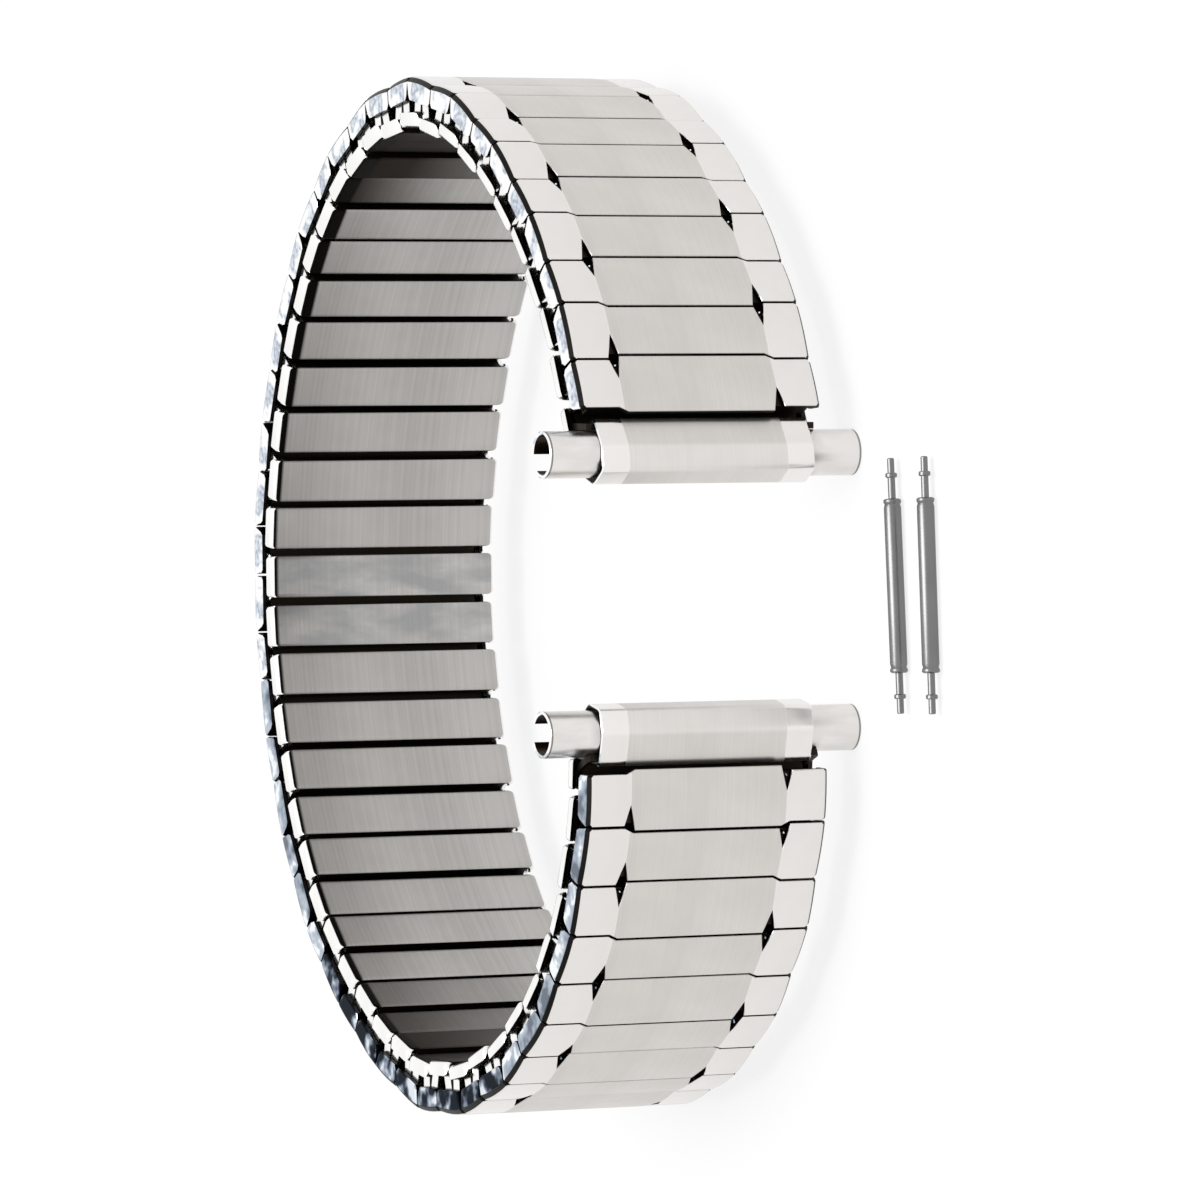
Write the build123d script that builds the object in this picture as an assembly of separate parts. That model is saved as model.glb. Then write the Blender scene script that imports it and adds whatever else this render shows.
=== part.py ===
from build123d import *
import math
import os

# Expansion watch band, closed to its relaxed ring and lying on its side. Z runs across the band.
# Lengths in millimetres, angles in degrees.

# Chain
link_count = 47
link_pitch = 3.75
link_width = 17.0
first_heading = 113.8
bends = (13, 12, 12.5, 16, 19.5, 18, 16, 14.5, 10.5, 10.5, 13, 11.5,
         10, 12.5, 14.5, 10.5, 13, 19, 17, 16, 17, 17.5, 16)

# Outer link cover
cover_gap = 0.14
cover_thick = 0.4
cover_bevel = 0.2
flange_thick = 0.3
flange_depth = 1.6
flange_taper = 0.42
edge_zone = 3.0
notch_length = 1.5
notch_width = 0.75

# Outer sleeve and its leaf spring
sleeve_wall = 0.12
outer_sleeve_width = 3.0
outer_sleeve_height = 1.1
leaf_thick = 0.1
leaf_width = 1.6
leaf_end_gap = 0.4

# Inner link cover, its sleeve and its leaf spring
band_depth = 3.5
tray_thick = 0.15
tray_rise = 1.0
inner_width = 2.9
inner_sleeve_height = 0.84

# Staples
rim_clearance = 0.05
staple_thick = 0.3
staple_width = 0.42
leg_thick = 0.2
leg_length = 3.0
outer_leg_depth = 1.0
inner_leg_depth = 2.9
straight_leg_reach = 1.62
bent_leg_reach = 1.32
inner_leg_reach = 1.08
pivot_depth = cover_thick / 2
stretch = 0.8

# End piece: shell and telescoping tubes
shell_length = 15.0
shell_wall = 0.22
shell_start = 0.2
shell_height = 3.9
shell_lip_share = 1 / 5
shell_step_share = 1 / 3
tube_radius = 1.5
tube_wall = 0.22
tube_clearance = 0.05
tube_length = 7.95
tube_slot = 1.14
tube_offset = 2.2
tube_depth = 2.0
open_width = 22.0
closed_width = 16.0
end_leg_offset = 0.74
end_inner_reach = 0.2
end_sleeve_end = 0.5
end_swing = 25

# Spring bars
bar_radius = 0.58
bar_wall = 0.16
bar_lip = 0.3
barrel_length = 11.1
tip_travel = 1.2
tip_shank_radius = 0.38
tip_shank_length = 1.6
tip_neck_radius = 0.24
tip_neck_length = 1.35
tip_flange_radius = 0.375
tip_flange_length = 0.3
tip_pin_radius = 0.225
tip_pin_length = 0.95
bar_reaches = (6.25, 10.8)
bar_turns = (2.75, 1.8)
bar_lift = 12.0
turned_sides = 16

# One overrun serves every cut.
overrun = 1.0

half_width = link_width / 2
cover_length = link_pitch - cover_gap
bow_inside = half_width - flange_thick - rim_clearance - staple_thick
bow_outside = bow_inside + staple_thick
sleeve_length = 2 * (bow_inside - rim_clearance)
leaf_length = 2 * (bow_inside - leg_length - leaf_end_gap)
band_middle = open_width / 2
tube_travel = (open_width - closed_width) / 2
tray_floor = band_depth - tray_thick
inner_sleeve_top = tray_floor - inner_sleeve_height


def block(x_low, x_high, y_low, y_high, z_low, z_high):
    """A box between two corners."""
    box = Box(x_high - x_low, y_high - y_low, z_high - z_low)
    return Pos((x_low + x_high) / 2, (y_low + y_high) / 2, (z_low + z_high) / 2) * box


def prism(points, z_low, z_high):
    """A polygon in the plane of the chain, drawn out across the band."""
    face = make_face(Polyline(*points, close=True))
    return Pos(0, 0, z_low) * extrude(face, z_high - z_low)


def section_bar(points, x_low, x_high):
    """A polygon of depth and height, drawn out along the chain."""
    face = Plane.YZ * make_face(Polyline(*points, close=True))
    return Pos(x_low, 0, 0) * extrude(face, x_high - x_low)


# Chain of joints: heading of each link and place of each pivot, counted from the upper end.
headings = [first_heading]
for link in range(1, link_count):
    bend = bends[link // 2 - 1] if link % 2 == 0 else 0
    headings.append(headings[-1] + bend)

pivots = [(0.0, 0.0)]
for heading in headings:
    step_x = link_pitch * math.cos(math.radians(heading))
    step_y = link_pitch * math.sin(math.radians(heading))
    pivots.append((pivots[-1][0] + step_x, pivots[-1][1] + step_y))


def joint_heading(joint):
    """Heading half way between the two covers that meet at a joint."""
    before = headings[max(joint, 1) - 1]
    after = headings[min(joint, link_count - 1)]
    return (before + after) / 2


def surface_point(x, y, heading, depth=pivot_depth):
    """Moves a point outwards from a given depth to the outer surface."""
    outward = math.radians(heading - 90)
    return x + depth * math.cos(outward), y + depth * math.sin(outward)


def link_place(link):
    """Frame of a cover: x along the chain, y into the band, z across it."""
    heading = headings[link - 1]
    x = (pivots[link - 1][0] + pivots[link][0]) / 2
    y = (pivots[link - 1][1] + pivots[link][1]) / 2
    return (*surface_point(x, y, heading), heading)


def joint_place(joint):
    """Frame of an inner link, on the joint that it straddles."""
    heading = joint_heading(joint)
    return (*surface_point(*pivots[joint], heading), heading)


def world_point(place, x, y):
    """A point of a frame in the plane of the ring."""
    turn = math.radians(place[2])
    return (place[0] + x * math.cos(turn) - y * math.sin(turn),
            place[1] + x * math.sin(turn) + y * math.cos(turn))


# The middle of the opening carries the two loose spring bars in front of it.
opening_x = (pivots[0][0] + pivots[-1][0]) / 2
opening_y = (pivots[0][1] + pivots[-1][1]) / 2

ring_points = []
for link in range(1, link_count + 1):
    for end in (-cover_length / 2, cover_length / 2):
        ring_points.append(world_point(link_place(link), end, 0))
left_edge = min(point[0] for point in ring_points)
right_edge = opening_x + bar_reaches[1] + bar_radius
low_edge = min(point[1] for point in ring_points)
high_edge = max(point[1] for point in ring_points)
origin_x = (left_edge + right_edge) / 2
origin_y = (low_edge + high_edge) / 2


def put(place, shape):
    """Places a shape of a flat frame in the standing frame of the part."""
    x = place[0] - origin_x
    y = place[1] - origin_y
    return Location((x, y, band_middle), (0, 0, place[2])) * shape


def cover(start_side, end_side):
    """Folded cover: plate with bevelled rims, two tapering flanges and two half V-notches."""
    half_length = cover_length / 2
    inner_rim = half_width - flange_thick
    section = [
        (0, -half_width + cover_bevel),
        (cover_bevel, -half_width),
        (flange_depth, -half_width),
        (flange_depth, -inner_rim),
        (cover_thick, -inner_rim),
        (cover_thick, inner_rim),
        (flange_depth, inner_rim),
        (flange_depth, half_width),
        (cover_bevel, half_width),
        (0, half_width - cover_bevel),
    ]
    shape = section_bar(section, -half_length, half_length)
    for end in (-1, 1):
        wedge = [
            (end * half_length, cover_thick),
            (end * (half_length + overrun), cover_thick),
            (end * (half_length + overrun), flange_depth + overrun),
            (end * (half_length - flange_taper), flange_depth + overrun),
            (end * (half_length - flange_taper), flange_depth),
        ]
        shape -= prism(wedge, -half_width - overrun, half_width + overrun)
    for end, side in ((-1, start_side), (1, end_side)):
        boundary = side * (half_width - edge_zone)
        slope = notch_width / 2 / notch_length
        mouth = notch_width / 2 + slope * overrun
        notch = Plane.XZ * make_face(Polyline(
            (end * (half_length - notch_length), boundary),
            (end * (half_length + overrun), boundary + mouth),
            (end * (half_length + overrun), boundary - mouth),
            close=True,
        ))
        shape -= extrude(notch, cover_thick + overrun, both=True)
    return shape


def sleeve(width, top, height):
    """Folded rectangular tube that holds the staple legs."""
    half = width / 2
    end = sleeve_length / 2
    shape = block(-half, half, top, top + height, -end, end)
    bore = block(
        -half + sleeve_wall, half - sleeve_wall,
        top + sleeve_wall, top + height - sleeve_wall,
        -end - overrun, end + overrun,
    )
    return shape - bore


def leaf(floor, middle=0, half=leaf_width / 2):
    """Leaf spring on the floor of its sleeve, between the tips of the staple legs."""
    end = leaf_length / 2
    return block(middle - half, middle + half, floor - leaf_thick, floor, -end, end)


def outer_parts(link):
    """Cover, sleeve and leaf spring of one outer link."""
    late = link % 2 == 0 or link == link_count
    sides = (1, -1) if late else (-1, 1)
    floor = cover_thick + outer_sleeve_height - sleeve_wall
    shapes = [
        cover(*sides),
        sleeve(outer_sleeve_width, cover_thick, outer_sleeve_height),
        leaf(floor),
    ]
    return [put(link_place(link), shape) for shape in shapes]


def tray(x_low, x_high):
    """Inner link cover: wrist plate with a flange up each rim."""
    rise = band_depth - tray_rise
    inner_rim = half_width - flange_thick
    section = [
        (rise, -half_width),
        (band_depth, -half_width),
        (band_depth, half_width),
        (rise, half_width),
        (rise, inner_rim),
        (tray_floor, inner_rim),
        (tray_floor, -inner_rim),
        (rise, -inner_rim),
    ]
    return section_bar(section, x_low, x_high)


def staple(outer_x, inner_x, side, outer_depth=outer_leg_depth):
    """U-shaped flat staple: a bow at the rim, a leg into each sleeve."""
    lean = math.degrees(math.atan2(outer_x - inner_x, inner_leg_depth - outer_depth))
    span = math.hypot(outer_x - inner_x, inner_leg_depth - outer_depth)
    half_leg = leg_thick / 2
    tip = bow_inside - leg_length
    section = [
        (-half_leg, side * tip),
        (-half_leg, side * bow_outside),
        (span + half_leg, side * bow_outside),
        (span + half_leg, side * tip),
        (span - half_leg, side * tip),
        (span - half_leg, side * bow_inside),
        (half_leg, side * bow_inside),
        (half_leg, side * tip),
    ]
    shape = section_bar(section, -staple_width / 2, staple_width / 2)
    return Location((outer_x, outer_depth, 0), (0, 0, lean)) * shape


def inner_parts(joint):
    """Inner link over a joint, with the four staples that tie it to both neighbours."""
    reach = bent_leg_reach if joint % 2 == 0 else straight_leg_reach
    floor = tray_floor - sleeve_wall
    half = inner_width / 2
    shapes = [
        tray(-half, half),
        sleeve(inner_width, inner_sleeve_top, inner_sleeve_height),
        leaf(floor),
    ]
    for side in (-1, 1):
        shapes.append(staple(-reach, -inner_leg_reach, side))
        shapes.append(staple(reach, inner_leg_reach, side))
    return [put(joint_place(joint), shape) for shape in shapes]


def end_place(joint):
    """Frame of an end piece: x away from the chain, y into the band."""
    x, y, heading = joint_place(joint)
    return (x, y, heading + 180) if joint == 0 else (x, y, heading)


def put_end(joint, shape):
    """Places an end shape, which is drawn for the lower end and mirrored for the upper one."""
    if joint == 0:
        shape = mirror(shape, about=Plane.XZ)
    return put(end_place(joint), shape)


def short_sleeve(x_low, x_high):
    """Sleeve of an end inner link, cut short to clear the tubes."""
    end = sleeve_length / 2
    shape = block(x_low, x_high, inner_sleeve_top, tray_floor, -end, end)
    bore = block(
        x_low + sleeve_wall, x_high - sleeve_wall,
        inner_sleeve_top + sleeve_wall, tray_floor - sleeve_wall,
        -end - overrun, end + overrun,
    )
    return shape - bore


def end_inner_parts(joint):
    """Short inner link at an end piece, with two staples to the last cover and two to the shell."""
    floor = tray_floor - sleeve_wall
    low = -inner_width / 2
    middle = (low + end_sleeve_end) / 2
    leaf_half = (end_sleeve_end - low) / 4
    shapes = [
        tray(low, end_sleeve_end),
        short_sleeve(low, end_sleeve_end),
        leaf(floor, middle, leaf_half),
    ]
    for side in (-1, 1):
        shapes.append(staple(-straight_leg_reach, -inner_leg_reach, side))
        shapes.append(staple(end_leg_offset, -end_inner_reach, side))
    return [put_end(joint, shape) for shape in shapes]


def inset(points, distance):
    """The open polyline moved sideways to its left by a distance, with mitred corners."""
    directions = []
    for start, end in zip(points, points[1:]):
        run = math.dist(start, end)
        directions.append(((end[0] - start[0]) / run, (end[1] - start[1]) / run))
    moved = []
    for index, point in enumerate(points):
        before = directions[max(index - 1, 0)]
        after = directions[min(index, len(directions) - 1)]
        normal_x = -(before[1] + after[1])
        normal_y = before[0] + after[0]
        scale = distance / (1 + before[0] * after[0] + before[1] * after[1])
        moved.append((point[0] + normal_x * scale, point[1] + normal_y * scale))
    return moved


def shell():
    """Sheet wrapped round the tubes: a link side wall, a ridged front and a rolled lower edge."""
    far = shell_start + shell_height
    room = tube_radius + tube_clearance + shell_wall
    step = shell_step_share * room
    ridge_depth = tube_depth - math.hypot(room, tube_offset - shell_start - room)
    outline = [
        (tube_offset + shell_lip_share * shell_height, tube_depth + room),
        (far, tube_depth + step),
        (far - shell_wall, tube_depth - 2 * step),
        (tube_offset + shell_wall, ridge_depth + shell_wall / 2),
        (shell_start, tube_depth - 2 * step - shell_wall / 2),
        (shell_start, tube_depth + shell_wall),
    ]
    section = outline + list(reversed(inset(outline, shell_wall)))
    return prism(section, -shell_length / 2, shell_length / 2)


def tube(side):
    """Telescoping tube, open along a slot on the wrist side."""
    outer_end = side * band_middle
    inner_end = side * (band_middle - tube_length)
    ring = Circle(tube_radius) - Circle(tube_radius - tube_wall)
    slot = Pos(0, tube_radius) * Rectangle(tube_slot, tube_radius + tube_wall)
    shape = extrude(Sketch() + (ring - slot), tube_length)
    return Pos(tube_offset, tube_depth, min(outer_end, inner_end)) * shape


def turned(steps):
    """Small turned piece about Y, in even facets, from rows of a radius and its two ends."""
    shape = Part()
    for radius, low, high in steps:
        face = Plane.XZ * RegularPolygon(radius, turned_sides)
        shape += Pos(0, low, 0) * extrude(face, low - high)
    return shape


def barrel():
    """Spring bar barrel, rolled in at both ends to keep the tips."""
    half = barrel_length / 2
    bore = bar_radius - bar_wall
    mouth = tip_neck_radius + rim_clearance
    outside = turned([(bar_radius, -half, half)])
    inside = turned([
        (mouth, -half - overrun, -half + bar_lip),
        (bore, -half + bar_lip, half - bar_lip),
        (mouth, half - bar_lip, half + overrun),
    ])
    return outside - inside


def tip():
    """Shouldered spring bar tip, pointing along +Y from the end of its barrel."""
    shank_end = -bar_lip - rim_clearance
    flange_start = tip_neck_length
    flange_end = flange_start + tip_flange_length
    shape = turned([
        (tip_shank_radius, shank_end - tip_shank_length, shank_end),
        (tip_neck_radius, shank_end, flange_start),
        (tip_flange_radius, flange_start, flange_end),
        (tip_pin_radius, flange_end, flange_end + tip_pin_length),
    ])
    return Pos(0, barrel_length / 2, 0) * shape


def core_spring():
    """Spring inside a barrel, as its closed outer form between the two tips pushed in."""
    half = barrel_length / 2 - bar_lip - rim_clearance - tip_shank_length - tip_travel - rim_clearance
    return turned([(tip_neck_radius, -half, half)])


def bar_location(bar):
    """Place of a loose spring bar on the floor in front of the opening."""
    x = opening_x + bar_reaches[bar] - origin_x
    y = opening_y - origin_y
    return Location((x, y, bar_radius), (0, 0, bar_turns[bar]))


def node_shapes():
    """Every node's solids by name."""
    nodes = {}
    for link in range(1, link_count + 1):
        shapes = outer_parts(link)
        if link < link_count:
            shapes += inner_parts(link)
        else:
            shapes += end_inner_parts(link)
        if link == 1:
            shapes += end_inner_parts(0)
        nodes[f"link_{link:02d}"] = shapes
    for joint, name in ((0, "upper"), (link_count, "lower")):
        nodes[f"{name}_end_shell"] = [put_end(joint, shell())]
        nodes[f"{name}_tube_left"] = [put_end(joint, tube(1))]
        nodes[f"{name}_tube_right"] = [put_end(joint, tube(-1))]
    for bar in (0, 1):
        place = bar_location(bar)
        turn_round = Rot(0, 0, 180)
        nodes[f"spring_bar_{bar + 1}_barrel"] = [place * barrel(), place * core_spring()]
        nodes[f"spring_bar_{bar + 1}_upper_tip"] = [place * tip()]
        nodes[f"spring_bar_{bar + 1}_lower_tip"] = [place * turn_round * tip()]
    return nodes


os.makedirs("parts", exist_ok=True)
for node, shapes in node_shapes().items():
    solids = [solid for shape in shapes for solid in shape.solids()]
    export_step(Compound(label=node, children=solids), f"parts/{node}.step")
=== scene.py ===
"""Looks of the expansion watch band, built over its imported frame."""

import math
from functools import cache

import bmesh
import bpy
from mathutils import Matrix, Vector


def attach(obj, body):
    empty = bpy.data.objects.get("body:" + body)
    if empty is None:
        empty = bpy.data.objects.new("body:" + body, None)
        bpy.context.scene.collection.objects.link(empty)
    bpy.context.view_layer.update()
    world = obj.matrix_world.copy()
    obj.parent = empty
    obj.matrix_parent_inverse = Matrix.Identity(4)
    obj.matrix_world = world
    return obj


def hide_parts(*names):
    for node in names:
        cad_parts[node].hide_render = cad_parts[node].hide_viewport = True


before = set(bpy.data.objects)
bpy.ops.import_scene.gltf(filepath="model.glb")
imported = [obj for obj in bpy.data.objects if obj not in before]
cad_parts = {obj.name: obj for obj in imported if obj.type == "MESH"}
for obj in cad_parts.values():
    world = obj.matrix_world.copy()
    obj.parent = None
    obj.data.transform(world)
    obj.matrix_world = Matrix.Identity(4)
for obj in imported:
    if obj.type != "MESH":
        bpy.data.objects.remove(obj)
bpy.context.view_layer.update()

# Lengths below are in millimetres and angles in degrees. Meshes are scaled to metres when made.
MM = 0.001

# Chain, as in the part
link_count = 47
link_pitch = 3.75
link_width = 17.0
first_heading = 113.8
bends = (13, 12, 12.5, 16, 19.5, 18, 16, 14.5, 10.5, 10.5, 13, 11.5,
         10, 12.5, 14.5, 10.5, 13, 19, 17, 16, 17, 17.5, 16)
cover_gap = 0.14
cover_thick = 0.4
flange_thick = 0.3
flange_depth = 1.6
flange_taper = 0.42
edge_zone = 3.0
notch_length = 1.5
notch_width = 0.75
band_depth = 3.5
inner_width = 2.9
tray_thick = 0.15
tray_rise = 1.0
open_width = 22.0
pivot_depth = cover_thick / 2
half_width = link_width / 2
half_cover = (link_pitch - cover_gap) / 2
band_middle = open_width / 2

# Edges and soft shading of all meshes
weld = 0.0001
edge_round = 0.07
smooth_angle = 35
crowned_smooth_angle = 15

# Fine forms of the covers
dark_bevel = 0.32
zone_step = 0.15
zone_line = 0.06
step_run = 0.6
corner_round = 0.3
flange_gap = 0.03
straight_taper = 0.12
foot_round = 0.28
crown = 0.11
crown_cuts = (-1.55, -1.2, -0.7, 0.0, 0.7, 1.2, 1.55)
crown_reach = 0.5
crown_end = 0.9
flange_ease_share = 1.3

# Bend of the inner links between wrist plate and rim flange, and their rounded corners
bend_radius = 0.45
bend_steps = 6
bright_bend_steps = 4
tray_corner = 0.28
corner_steps = 4
corner_slant = 1.6
inside_sides = 6

# Painted shade on the wrist side: a dark band beside the left rim, wider from joint to joint towards the
# top and the foot of the ring, and a painted shade over the joints there, with a share at the left rim
# and one at the right, which fades out from shade_foot to the right rim. Two joints at the back are
# smoother, with darker cloudy patches.
rim_dark = 0.32
rim_soft = 0.2
band_least = 0.05
upper_band_step = 0.11
lower_band_step = 0.06
band_joints = (11, 22, 28, 36)
painted_shade_colour = (0.022, 0.014, 0.009)
painted_rim_shade_colour = (0.006, 0.005, 0.004)
shade_foot = -1.5
plain_shade = (0.0, 0.0, False)
painted_wrist_shades = {
    8: (0.6, -0.6, False), 9: (0.88, -0.3, False), 10: (1.05, 0.3, False),
    11: (1.1, 0.9, False), 12: (1.2, 0.8, False), 13: (1.19, 0.4, False), 14: (1.09, -0.8, False),
    23: (0.0, 0.0, True), 24: (0.0, 0.0, True),
    33: (0.5, 0.1, False), 34: (0.8, 0.35, False), 35: (0.98, 0.75, False), 36: (0.99, 0.92, False),
    37: (0.95, 0.5, False), 38: (0.85, 0.0, False), 39: (0.55, -0.5, False),
}

# Painted reflections of the polished rims: their colours from patch to patch, and the first link of each
# tone.
# Dark rims reflect less at grazing angles, and bright ones are speckled near the middle of a link.
rim_reflection_tones = {
    "bright": ((0.2, (1.0, 1.0, 1.0)), (0.36, (0.74, 0.79, 0.86)), (0.6, (0.40, 0.45, 0.53))),
    "dull": ((0.38, (0.12, 0.15, 0.2)), (0.46, (0.33, 0.39, 0.47)), (0.55, (0.5, 0.56, 0.64)),
             (0.59, (0.95, 0.98, 1.0))),
    "dark": ((0.48, (0.005, 0.008, 0.014)), (0.52, (0.04, 0.053, 0.075)), (0.55, (0.2, 0.24, 0.3)),
             (0.59, (0.36, 0.42, 0.5)), (0.63, (0.9, 0.95, 1.0))),
}
reflection_tone_starts = ((41, "dull"), (32, "dark"), (26, "dull"), (1, "bright"))
dark_edge_tint = (0.6, 0.61, 0.63)
speckle_fade = (0.38, 0.52)
mottle_half = 1.4
mottle_core_share = 0.7

# Grain of the finishes: the stretch, scale and detail of their noises, in a piece measured in metres
brush_stretch = (60, 60, 5000)
even_stretch = (1, 1, 1)
cloudy_stretch = (1, 1, 0.4)
tube_stretch = (1, 1, 0.35)
brush_scale = 1.0
wrist_cloud_scale = 200.0
cover_cloud_scale = 260.0
spot_scale = 400.0
patch_scale = 620.0
tube_cloud_scale = 900.0
speckle_scale = 3200.0
patch_detail = 2.0
cloud_detail = 3.0
fine_detail = 4.0
own_noise_span = 40.0
cover_streak_share = 0.4
wrist_streak_share = 0.5

# Greys of the finishes: the place of each in the noise, its grey and its warmth. The shares of the
# brushed centres and polished zones are taken of the greys of the covers and the shells.
brushed_shares = ((0.3, 0.9, 0.05), (0.7, 1.08, 0.035))
polished_shares = ((0.3, 0.96, 0.035), (0.7, 1.03, 0.025))
cover_greys = (0.63, 0.75)
shell_greys = (0.64, 0.77)
wrist_tones = ((0.35, 0.42, 0.035), (0.7, 0.54, 0.03))
tube_tones = ((0.35, 0.7, 0.03), (0.6, 0.78, 0.03))
zone_line_grey = (0.82, 0.03)
zone_line_share = 0.6
# Painted light beyond the ridge of the end pieces
painted_ridge_light_grey = (0.95, 0.02)
# Painted shade at the tubes' mouths, and a dark line near their ends
tube_shade_and_line_grey = (0.05, 0.1)
# Darker cloudy patches on two smoother joints of the wrist side
cloudy_colour = (0.27, 0.28, 0.29)
cloudy_fade = (0.35, 0.62)
cloudy_share = 0.65
spot_places = (0.3, 0.7)
spot_share = 0.9

# Roughness of the finishes
mirror_rough = 0.12
polished_rough = 0.22
cloudy_rough = 0.25
tube_rough = 0.28
wrist_rough = 0.4
brushed_rough = 0.42

# Colour and roughness of the plainer finishes
plain_finishes = {
    # Painted shade on the dark bevels, the joint walls, the flanges' insides and the shells' ends and
    # insides
    "painted_shade_rim_lines": ((0.012, 0.011, 0.01), 0.45),
    # Painted shade on the sleeves, leaf springs and hidden parts of the inner links
    "painted_shade_sleeves": ((0.03, 0.024, 0.018), 0.5),
    "staples": ((0.97, 0.965, 0.955), 0.18),
    # Painted shade inside the tubes
    "painted_shade_tube_insides": ((0.07, 0.048, 0.032), 0.35),
    "bars": ((0.21, 0.21, 0.21), 0.32),
}

# Places of the finishes in the material lists of outer links, inner links and end pieces
top_finish, rim_finish, wall_finish, sleeve_finish = range(4)
plate_finish, bend_finish, hidden_finish, staple_finish = range(4)
face_finish, edge_finish, inside_finish = range(3)

# Sleeves, leaves and staples
sleeve_wall = 0.12
sleeve_gap = edge_round / 7
outer_sleeve_width = 3.0
outer_sleeve_height = 1.1
inner_sleeve_height = 0.84
leaf_thick = 0.1
leaf_width = 1.6
leaf_end_gap = 0.4
rim_clearance = 0.05
staple_thick = 0.3
staple_width = 0.42
bow_width = 0.96
bow_shift = 0.21
leg_thick = 0.2
leg_length = 3.0
outer_leg_depth = 1.0
inner_leg_depth = 2.9
straight_leg_reach = 1.62
bent_leg_reach = 1.32
inner_leg_reach = 1.08
bow_inside = half_width - flange_thick - rim_clearance - staple_thick
bow_outside = bow_inside + staple_thick
sleeve_half = bow_inside - rim_clearance
leaf_half = bow_inside - leg_length - leaf_end_gap
tray_floor = band_depth - tray_thick
inner_sleeve_top = tray_floor - inner_sleeve_height
glint_radius = 0.13
glint_depth = 0.3
glint_rings = 5
glint_sides = 10

# End pieces
shell_length = 15.0
shell_wall = 0.22
shell_start = 0.2
shell_height = 3.9
shell_lip_share = 1 / 5
shell_step_share = 1 / 3
shell_round_steps = 2
shell_round_share = 0.12
tube_radius = 1.5
tube_wall = 0.22
tube_clearance = 0.05
tube_length = 7.95
tube_slot = 1.4
tube_steps = 36
tube_offset = 2.2
tube_depth = 2.0
end_leg_offset = 0.74
end_inner_reach = 0.2
end_sleeve_end = 0.5
polished_end = 1.9
# Painted light that fades in before the ridge of the shells' fronts
ridge_fade = 0.25
ridge_light_share = 0.3
# Painted shade in patches on the tubes where they go into their shells
tube_mouth_shade = 0.8
tube_mouth_shade_share = 0.3
tube_mouth_shade_fade = (0.4, 0.6)
tube_line = 0.08
tube_line_place = band_middle - 2 * edge_round
tube_line_share = 0.75

# Loose spring bars
bar_radius = 0.58
bar_lip = 0.3
barrel_length = 11.1
tip_neck_radius = 0.24
tip_neck_length = 1.35
tip_flange_radius = 0.375
tip_flange_length = 0.3
tip_pin_radius = 0.225
tip_pin_length = 0.95
bar_reaches = (6.25, 10.8)
bar_turns = (2.75, 1.8)
round_sides = 40

# Rolled end of a spring bar barrel: its mouth against the tip's neck, then its radii against the
# barrel's and their places against the lip
barrel_mouth_share = 1.2
barrel_end_shares = ((0.7912, 0.0), (0.95, 0.2), (1.0, 0.5), (0.95, 0.9), (0.86, 1.2), (0.96, 1.9))

# Camera, fitted to the rim joints of the photograph
camera_place = (444.852, -0.662, 210.991)
camera_down = 24.511
camera_roll = -1.062
camera_lens = 219.64
camera_sensor = 36.0
camera_near = 10.0

# Floor and light
floor_half = 2000.0
floor_white = (0.9, 0.9, 0.9)
floor_white_share = 0.8
sky_power = 0.7
lamp_place = (100.0, 100.0, 900.0)
lamp_size = 600.0
lamp_watts = 6.0


# Chain of joints
headings = [first_heading]
for link in range(1, link_count):
    turn = bends[link // 2 - 1] if link % 2 == 0 else 0
    headings.append(headings[-1] + turn)

pivots = [(0.0, 0.0)]
for heading in headings:
    step_x = link_pitch * math.cos(math.radians(heading))
    step_y = link_pitch * math.sin(math.radians(heading))
    pivots.append((pivots[-1][0] + step_x, pivots[-1][1] + step_y))


def surface_point(x, y, heading):
    """Moves a point from the depth of the pivots to the outer surface."""
    outward = math.radians(heading - 90)
    return x + pivot_depth * math.cos(outward), y + pivot_depth * math.sin(outward)


def link_place(link):
    """Frame of a cover: x along the chain, y into the band, z across it."""
    heading = headings[link - 1]
    x = (pivots[link - 1][0] + pivots[link][0]) / 2
    y = (pivots[link - 1][1] + pivots[link][1]) / 2
    return (*surface_point(x, y, heading), heading)


def joint_place(joint):
    """Frame of an inner link, on the joint that it straddles."""
    heading = (headings[max(joint, 1) - 1] + headings[min(joint, link_count - 1)]) / 2
    return (*surface_point(*pivots[joint], heading), heading)


def end_place(joint):
    """Frame of an end piece: x away from the chain, y into the band."""
    x, y, heading = joint_place(joint)
    return (x, y, heading + 180) if joint == 0 else (x, y, heading)


def world_point(place, x, y):
    """A point of a frame in the plane of the ring."""
    turn = math.radians(place[2])
    return (place[0] + x * math.cos(turn) - y * math.sin(turn),
            place[1] + x * math.sin(turn) + y * math.cos(turn))


opening_x = (pivots[0][0] + pivots[-1][0]) / 2
opening_y = (pivots[0][1] + pivots[-1][1]) / 2
ring_points = []
for link in range(1, link_count + 1):
    for end in (-half_cover, half_cover):
        ring_points.append(world_point(link_place(link), end, 0))
left_edge = min(point[0] for point in ring_points)
right_edge = opening_x + bar_reaches[1] + bar_radius
low_edge = min(point[1] for point in ring_points)
high_edge = max(point[1] for point in ring_points)
origin_x = (left_edge + right_edge) / 2
origin_y = (low_edge + high_edge) / 2


def place_matrix(place):
    """Place of a frame in the standing frame of the part, in metres."""
    x = (place[0] - origin_x) * MM
    y = (place[1] - origin_y) * MM
    spin = Matrix.Rotation(math.radians(place[2]), 4, "Z")
    return Matrix.Translation((x, y, band_middle * MM)) @ spin


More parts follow.
